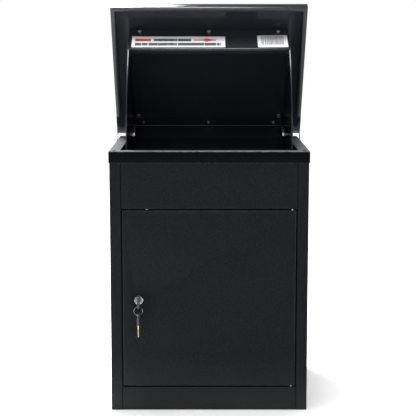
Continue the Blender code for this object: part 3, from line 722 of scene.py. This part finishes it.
def lid_cover():
    """The shallow lid: a folded skirt with turned-in lips and a round lug at each rear corner."""
    low, high = shut_box("lid_panel")
    skirt, lip, lips_stop, rear, lug = high.z - 0.020, 0.010, -0.065, -0.0006, 0.0125
    piece = brick("lid_cover", (low.x, low.y, skirt), (high.x, rear, high.z))
    choose("FACE", lambda middle, facing: facing.z < -ALONG)
    bpy.ops.mesh.inset(thickness=lip)
    choose("FACE", lambda middle, facing: facing.y > ALONG)
    bpy.ops.mesh.delete(type="FACE")
    choose("FACE", lambda middle, facing: facing.z < -ALONG and abs(middle.x) < lip
           and middle.y > low.y + lip)
    bpy.ops.mesh.delete(type="FACE")
    cut_across((0, lips_stop, 0), (0, 1, 0))
    choose("FACE", lambda middle, facing: facing.z < -ALONG and middle.y > lips_stop)
    bpy.ops.mesh.delete(type="FACE")
    choose(
        "EDGE",
        lambda middle, run: (near(middle.y, low.y) or near(abs(middle.x), high.x))
        and (near(middle.z, high.z) or (near(middle.z, skirt) and middle.y < lips_stop)),
    )
    bpy.ops.mesh.bevel(offset=BEND, segments=4, affect="EDGES")
    thicken(piece, SHEET)
    for side in (-1, 1):
        cut_out(piece, lid_lug(side * (high.x - SHEET / 2), lug, high.z - 2 * BEND), "UNION")
    cut_out(piece, barrel("lug_holes", "X", (0.0, 0.0, 0.0), PIVOT_HOLE, THROUGH))
    break_edges(piece)
    finish_piece(piece, "lid", "lid_enamel", ["lid_panel"], turn=LID_FRAME)


def drop_ledge():
    """The scoop's front wall, rolled back along its free edge into a hem with a short lip."""
    low, high = shut_box("scoop_ledge")
    roll, lip = 0.0032, 0.004
    piece = brick("drop_ledge", low, high)
    choose(
        "FACE",
        lambda middle, facing: facing.y > ALONG or facing.z > ALONG or abs(facing.x) > ALONG,
    )
    bpy.ops.mesh.delete(type="FACE")
    choose("EDGE", lambda middle, run: near(middle.y, high.y) and near(middle.z, low.z))
    push_edges((0, 0, lip))
    choose("EDGE", lambda middle, run: near(middle.y, low.y) and near(middle.z, low.z))
    bpy.ops.mesh.bevel(offset=roll, segments=8, affect="EDGES")
    choose("EDGE", lambda middle, run: near(middle.y, high.y) and near(middle.z, low.z))
    bpy.ops.mesh.bevel(offset=BEND, segments=3, affect="EDGES")
    thicken(piece, PLATE)
    break_edges(piece)
    finish_piece(piece, "lid", "lid_enamel", ["scoop_ledge"], turn=LID_FRAME)


def scoop_cheek(hand, side):
    """A sector-shaped cheek with a fixing flange along the top and a narrow turned edge."""
    low, high = shut_box(f"scoop_side_{hand}")
    radius, arc_sides = 0.311, 240
    flange_start, flange_end, flange_width = -0.280, -0.0485, 0.019
    rim_width, rim_top, out_of_round = 0.0020, -0.060, 0.0002
    wall = side * max(abs(low.x), abs(high.x))
    piece = disc(f"scoop_cheek_{hand}", "X", (wall, 0.0, 0.0), radius, arc_sides)
    cut_across((0, 0, high.z), (0, 0, 1), keep_below=True)
    cut_across((0, low.y, 0), (0, 1, 0), keep_above=True)
    cut_across((0, high.y, 0), (0, 1, 0), keep_below=True)
    floor_angle, root_past_edge, root_z, tip_inset = math.radians(-78.5), 0.003, -0.022, 0.004
    tip = Vector((0.0, -radius * math.cos(floor_angle), radius * math.sin(floor_angle)))
    root = Vector((0.0, high.y + root_past_edge, root_z))
    along = root - tip
    cut_across(tip + Vector((0, tip_inset, 0)), (0, along.z, -along.y), keep_below=True)
    cut_across((0, flange_start, 0), (0, 1, 0))
    cut_across((0, flange_end, 0), (0, 1, 0))
    choose(
        "EDGE",
        lambda middle, run: near(middle.z, high.z) and flange_start < middle.y < flange_end,
    )
    push_edges((-side * flange_width, 0, 0))
    choose(
        "EDGE",
        lambda middle, run: near(middle.yz.length, radius, out_of_round)
        and abs(run.x) < ACROSS and middle.z < rim_top,
    )
    push_edges((-side * rim_width, 0, 0))
    bpy.ops.mesh.select_all(action="SELECT")
    bpy.ops.mesh.normals_make_consistent(inside=False)
    apply(piece, "SOLIDIFY", thickness=PLATE, offset=0.0, use_even_offset=True)
    break_edges(piece)
    finish_piece(piece, "lid", "lid_enamel", [f"scoop_side_{hand}"], turn=LID_FRAME)


# ---------------------------------------------------------------- screws and bolts
def pan_screw(name, radius, height, shank, length):
    """A domed head with a cross recess on its shank: the seat is at the origin, the head up."""
    dome, taper = height * 0.62, 0.55
    reach, blade, depth = radius * 0.52, radius * 0.11, height * 0.50
    piece = barrel(name, "Z", (0.0, 0.0, height / 2), radius, height)
    choose("EDGE", lambda middle, run: near(middle.z, height) and abs(run.z) < ACROSS)
    bpy.ops.mesh.bevel(offset=dome, segments=5, affect="EDGES")
    choose("FACE", lambda middle, facing: facing.z < -ALONG)
    bpy.ops.mesh.inset(thickness=radius - shank)
    push((0, 0, -length))
    for x, y in ((reach, blade), (blade, reach)):
        cutter = brick("recess", (-x, -y, height - depth), (x, y, height + depth))
        choose("FACE", lambda middle, facing: facing.z < -ALONG)
        floor = (0.0, 0.0, height - depth)
        bpy.ops.transform.resize(value=(taper, taper, 1.0), center_override=floor)
        cut_out(piece, cutter)
    return piece


def screws(body, nodes, height, head_turn):
    """Copies one screw to the place of each node, its seat one head's height from its crown."""
    turn, box_of = (LID_FRAME, shut_box) if body == "lid" else (AS_DRAWN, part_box)
    boxes = [box_of(node) for node in nodes]
    low, high = boxes[0]
    size = high - low
    axis = (head_turn @ Vector((0, 0, 1))).normalized()
    main = max(range(3), key=lambda i: abs(axis[i]))
    radius = max(size[i] for i in range(3) if i != main) / 2
    shank, length = radius * 0.5, size[main] - height
    pattern = pan_screw("screw_pattern", radius, height, shank, length)
    break_edges(pattern, width=0.00008, segments=1)
    for node, (low, high) in zip(nodes, boxes):
        crown = (low + high) / 2
        crown[main] = high[main] if axis[main] > 0 else low[main]
        seat = crown - axis * height
        place = Matrix.Translation(seat) @ head_turn.to_4x4()
        twin = copy_to(pattern, f"{node}_head", turn @ place)
        finish_piece(twin, body, "zinc_steel", [node])
    bpy.data.objects.remove(pattern)


def fixings():
    """Three screws through the ledge, three under the floor's flange, two bolts, two pivots.

    Each row has its nodes, the height of their heads and the way that the heads face.
    """
    to_front = Matrix.Rotation(math.pi / 2, 3, "X")
    downwards = Matrix.Rotation(math.pi, 3, "X")
    names = ("left", "centre", "right")
    rows = (
        ([f"ledge_screw_{name}" for name in names], 0.0026, to_front),
        ([f"floor_screw_{name}" for name in names], 0.0026, downwards),
        (["side_bolt_left", "side_bolt_right"], 0.0034, downwards),
    )
    for nodes, height, head_turn in rows:
        screws("lid", nodes, height, head_turn)
    for hand, side in (("left", -1), ("right", 1)):
        outwards = Matrix.Rotation(side * math.pi / 2, 3, "Y")
        screws("housing", [f"lid_pivot_bolt_{hand}"], 0.0032, outwards)


# ---------------------------------------------------------------- lock, keys and ring
# where the bow ends past the plug's face, and the fine break on the edges of lock and key
KEY_BOW_END = 0.0145
KEEN = 0.0001


def lock_face():
    """The lock's threaded barrel and its round bezel, bored for the plug."""
    low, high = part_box("lock_barrel")
    radius, thread, bore, sides = (high.x - low.x) / 2, 0.0080, 0.0062, 64
    seat = LOCK_CENTRE.y - 0.0003
    rounding, rim, step, sunk = 0.0014, 0.0011, 0.0005, 0.0004
    centre = Vector((LOCK_CENTRE.x, (low.y + seat) / 2, LOCK_CENTRE.z))
    piece = barrel("lock_face", "Y", centre, radius, seat - low.y, sides)
    choose("EDGE", lambda middle, run: near(middle.y, low.y) and abs(run.y) < ACROSS)
    bpy.ops.mesh.bevel(offset=rounding, segments=4, affect="EDGES")
    choose("FACE", lambda middle, facing: facing.y < -SQUARE)
    bpy.ops.mesh.inset(thickness=rim)
    bpy.ops.mesh.inset(thickness=step)
    push((0, sunk, 0))
    choose("FACE", lambda middle, facing: facing.y > SQUARE)
    bpy.ops.mesh.inset(thickness=radius - thread)
    push((0, high.y - seat, 0))
    cut_out(piece, barrel("plug_bore", "Y", LOCK_CENTRE, bore, THROUGH, sides))
    break_edges(piece, KEEN, segments=1)
    finish_piece(piece, "door", "chrome_plate", ["lock_barrel"])


def key_blade():
    """A key blade running along +Y, with a milled groove, a pointed tip and cut teeth."""
    low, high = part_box("lock_key_blade")
    bow_low, bow_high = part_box("lock_key_bow")
    centre = Vector(((low.x + high.x) / 2, bow_low.y + KEY_BOW_END, LOCK_CENTRE.z))
    low, high = low - centre, high - centre
    point, teeth, first_tooth, pitch = 0.0022, 6, 0.0040, 0.0031
    groove_depth, groove_width, gap = 0.0005, 0.0013, 0.001
    piece = brick("key_blade", low, high)
    choose("EDGE", lambda middle, run: near(middle.y, high.y) and abs(run.x) > ALONG)
    bpy.ops.mesh.bevel(offset=point, segments=2, affect="EDGES")
    for number in range(teeth):
        depth = 0.0009 + 0.0006 * math.sin(2.1 * number + 0.6)
        place = (0.0, high.y - first_tooth - number * pitch, low.z)
        cut_out(piece, barrel("notch", "X", place, depth * 1.5, OVERRUN, sides=4))
    for side in (-1, 1):
        groove_low = (side * high.x - groove_depth, bow_high.y - centre.y + gap, 0.0)
        groove_high = (side * high.x + groove_depth, high.y + gap, groove_width)
        cut_out(piece, brick("groove", groove_low, groove_high))
    break_edges(piece, KEEN, segments=1)
    return piece, centre


def key_bow(centre):
    """A moulded key head with round corners, a sunk panel on each side and a slot for the ring."""
    low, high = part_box("lock_key_bow")
    low, high = low - centre, high - centre
    corner, neck, rim, sunk = 0.0060, 0.0072, 0.0014, 0.0004
    slot_middle, slot_half, slot_reach, slot_round = -0.0095, 0.0024, 0.0115, 0.98
    panel_half, panel_corner = 0.008, 0.002
    piece = brick("key_bow", low, high)
    choose("EDGE", lambda middle, run: near(middle.y, low.y) and abs(run.x) > ALONG)
    bpy.ops.mesh.bevel(offset=corner, segments=8, affect="EDGES")
    choose("EDGE", lambda middle, run: near(middle.y, high.y) and abs(run.x) > ALONG)
    bpy.ops.mesh.bevel(offset=neck, segments=3, affect="EDGES")
    slot = brick("slot", (-OVERRUN, slot_middle - slot_half, -slot_reach),
                 (OVERRUN, slot_middle + slot_half, slot_reach))
    choose("EDGE", lambda middle, run: abs(run.x) > ALONG)
    bpy.ops.mesh.bevel(offset=slot_half * slot_round, segments=6, affect="EDGES")
    cut_out(piece, slot)
    panel_low, panel_high = slot_middle + slot_half + rim, high.y - neck
    for side in (-1, 1):
        face = side * high.x
        panel = brick("panel", (face - sunk, panel_low, -panel_half),
                      (face + sunk, panel_high, panel_half))
        choose("EDGE", lambda middle, run: abs(run.x) > ALONG)
        bpy.ops.mesh.bevel(offset=panel_corner, segments=4, affect="EDGES")
        cut_out(piece, panel)
    break_edges(piece, width=0.00035)
    return piece


def keys():
    """One key modelled once, and placed in the lock and hanging from the ring."""
    blade, centre = key_blade()
    bow = key_bow(centre)
    spare_low, spare_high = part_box("spare_key_bow")
    spare = (spare_low + spare_high) / 2
    spare.z = spare_high.z - KEY_BOW_END
    hanging = Matrix.Translation(spare) @ Matrix.Rotation(-math.pi / 2, 4, "X")
    for name, body, place in (
        ("lock_key", "key", Matrix.Translation(centre)),
        ("spare_key", "spare_key", hanging),
    ):
        cut_key = copy_to(blade, f"{name}_cut_blade", place)
        finish_piece(cut_key, body, "brass", [f"{name}_blade"])
        head = copy_to(bow, f"{name}_head", place)
        finish_piece(head, body, "key_plastic", [f"{name}_bow"])
    bpy.data.objects.remove(blade)
    bpy.data.objects.remove(bow)


def split_ring():
    """Two close turns of round wire with closed ends."""
    low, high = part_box("key_ring")
    wire = (high.y - low.y) / 4
    radius, pitch = (high.x - low.x) / 2 - wire, wire * 1.9
    deselect()
    bpy.ops.mesh.primitive_circle_add(
        vertices=12, radius=wire, fill_type="NOTHING", location=(radius, 0.0, 0.0)
    )
    piece = named("split_ring")
    apply(
        piece, "SCREW", axis="Y", angle=math.tau, iterations=2, screw_offset=pitch,
        steps=60, render_steps=60, use_merge_vertices=True, merge_threshold=0.00001,
    )
    bpy.ops.object.mode_set(mode="EDIT")
    bpy.ops.mesh.select_all(action="SELECT")
    bpy.ops.mesh.fill_holes(sides=0)
    bpy.ops.mesh.select_all(action="SELECT")
    bpy.ops.mesh.normals_make_consistent(inside=False)
    bpy.ops.object.mode_set(mode="OBJECT")
    centre = (low + high) / 2
    place = Matrix.Translation(centre - Vector((0.0, pitch, 0.0)))
    finish_piece(piece, "key_ring", "chrome_plate", ["key_ring"], turn=place, fold_and_top_marks=False)


# ---------------------------------------------------------------- printed labels
def label(node, print_finish, askew=0.0):
    """A film label with round corners and its own flat UV map, stuck on the ledge."""
    corner = 0.0018
    low, high = shut_box(node)
    piece = brick(f"{node}_print", low, high)
    choose("EDGE", lambda middle, run: abs(run.y) > ALONG)
    bpy.ops.mesh.bevel(offset=corner, segments=4, affect="EDGES")
    bpy.ops.object.mode_set(mode="OBJECT")
    uv_map = piece.data.uv_layers["UVMap"]
    uv_map.name = "label"
    for loop in piece.data.loops:
        place = piece.data.vertices[loop.vertex_index].co
        across = (place.x - low.x) / (high.x - low.x)
        up = (place.z - low.z) / (high.z - low.z)
        uv_map.data[loop.index].uv = (across, up)
    middle = (low + high) / 2
    tilt = Matrix.Translation(middle) @ Matrix.Rotation(askew, 4, "Y")
    turn = LID_FRAME @ tilt @ Matrix.Translation(-middle)
    finish_piece(piece, "lid", "label_film", [node], print_finish, turn, fold_and_top_marks=False)


# ---------------------------------------------------------------- assembly
door_skin()
rim_collar()
lid_cover()
drop_ledge()
scoop_cheek("left", -1)
scoop_cheek("right", 1)
fixings()
lock_face()
keys()
split_ring()
label("notice_label", NOTICE_FILM)
label("code_label", CODE_FILM, askew=math.radians(-1.2))

# parcels slide over the scoop's floor, so its enamel is scuffed duller than the lid's
SPECIAL = {
    "lock_plug": lock_steel(),
    "scoop_floor": lid_enamel("scuffed enamel", roughness=0.24),
}
SLOTS = {part["node"]: part["material_slot"] for part in frame["record"]["subparts"]}
for name, node in frame["nodes"].items():
    if not node.hide_render:
        node.material_slots[0].material = SPECIAL.get(name) or FINISHES[SLOTS[name]]


# ---------------------------------------------------------------- studio
scene = bpy.context.scene
scene.view_settings.view_transform = "Standard"


def studio_sheet():
    """The pale floor that the box stands on."""
    deselect()
    clearance = 0.0004
    bpy.ops.mesh.primitive_plane_add(size=24.0, location=(0.0, 0.0, cad_low.z - clearance))
    floor = named("studio_floor")
    bpy.ops.object.mode_set(mode="OBJECT")
    floor.data.materials.append(studio_floor())


def white_surround(reflected):
    """A white world behind the box that lights and mirrors only dimly."""
    world = bpy.data.worlds.new("studio surround")
    scene.world = world
    world.use_nodes = True
    nodes, links = world.node_tree.nodes, world.node_tree.links
    background = nodes["Background"]
    background.inputs["Color"].default_value = rgb(1.0, 1.0, 1.0)
    seen = nodes.new("ShaderNodeLightPath")
    strength = nodes.new("ShaderNodeMapRange")
    strength.inputs["To Min"].default_value = reflected
    strength.inputs["To Max"].default_value = 1.0
    links.new(seen.outputs["Is Camera Ray"], strength.inputs["Value"])
    links.new(strength.outputs["Result"], background.inputs["Strength"])


def softbox(name, place, aim, width, height, power):
    """A soft rectangular lamp that faces a point."""
    lamp = bpy.data.lights.new(name, "AREA")
    lamp.shape = "RECTANGLE"
    lamp.size = width
    lamp.size_y = height
    lamp.energy = power
    holder = bpy.data.objects.new(name, lamp)
    holder.location = place
    holder.rotation_euler = (Vector(aim) - Vector(place)).to_track_quat("-Z", "Y").to_euler()
    holder.visible_camera = False
    scene.collection.objects.link(holder)


def daylight(name, strength, spread):
    """Broad light from straight above, which keeps the whole floor equally pale."""
    lamp = bpy.data.lights.new(name, "SUN")
    lamp.energy = strength
    lamp.angle = math.radians(spread)
    scene.collection.objects.link(bpy.data.objects.new(name, lamp))


def camera():
    """A long lens a little above the rim, looking slightly down at the front."""
    lens = bpy.data.cameras.new("front view")
    lens.sensor_width = 36.0
    lens.lens = 99.17
    lens.shift_x = 0.0107
    lens.shift_y = -0.07
    holder = bpy.data.objects.new("front view", lens)
    holder.location = (-0.0126, -2.6825, 0.8526)
    holder.rotation_euler = (math.radians(82.551), 0.0, 0.0)
    scene.collection.objects.link(holder)
    scene.camera = holder


studio_sheet()
white_surround(reflected=0.14)
daylight("skylight", strength=3.5, spread=35.0)
softbox("overhead", (-0.2, -0.3, 2.8), (0.0, 0.0, 0.0), width=1.6, height=1.6, power=22)
softbox("upper left", (-0.75, 1.25, 2.6), (0.0, 0.0, 0.7), width=0.7, height=0.9, power=165)
softbox("front", (-0.8, -4.2, 1.7), (0.0, 0.0, 0.5), width=2.6, height=2.0, power=22)
softbox("behind", (0.0, 3.6, 1.1), (0.0, 0.0, 0.6), width=3.2, height=1.4, power=14)
camera()
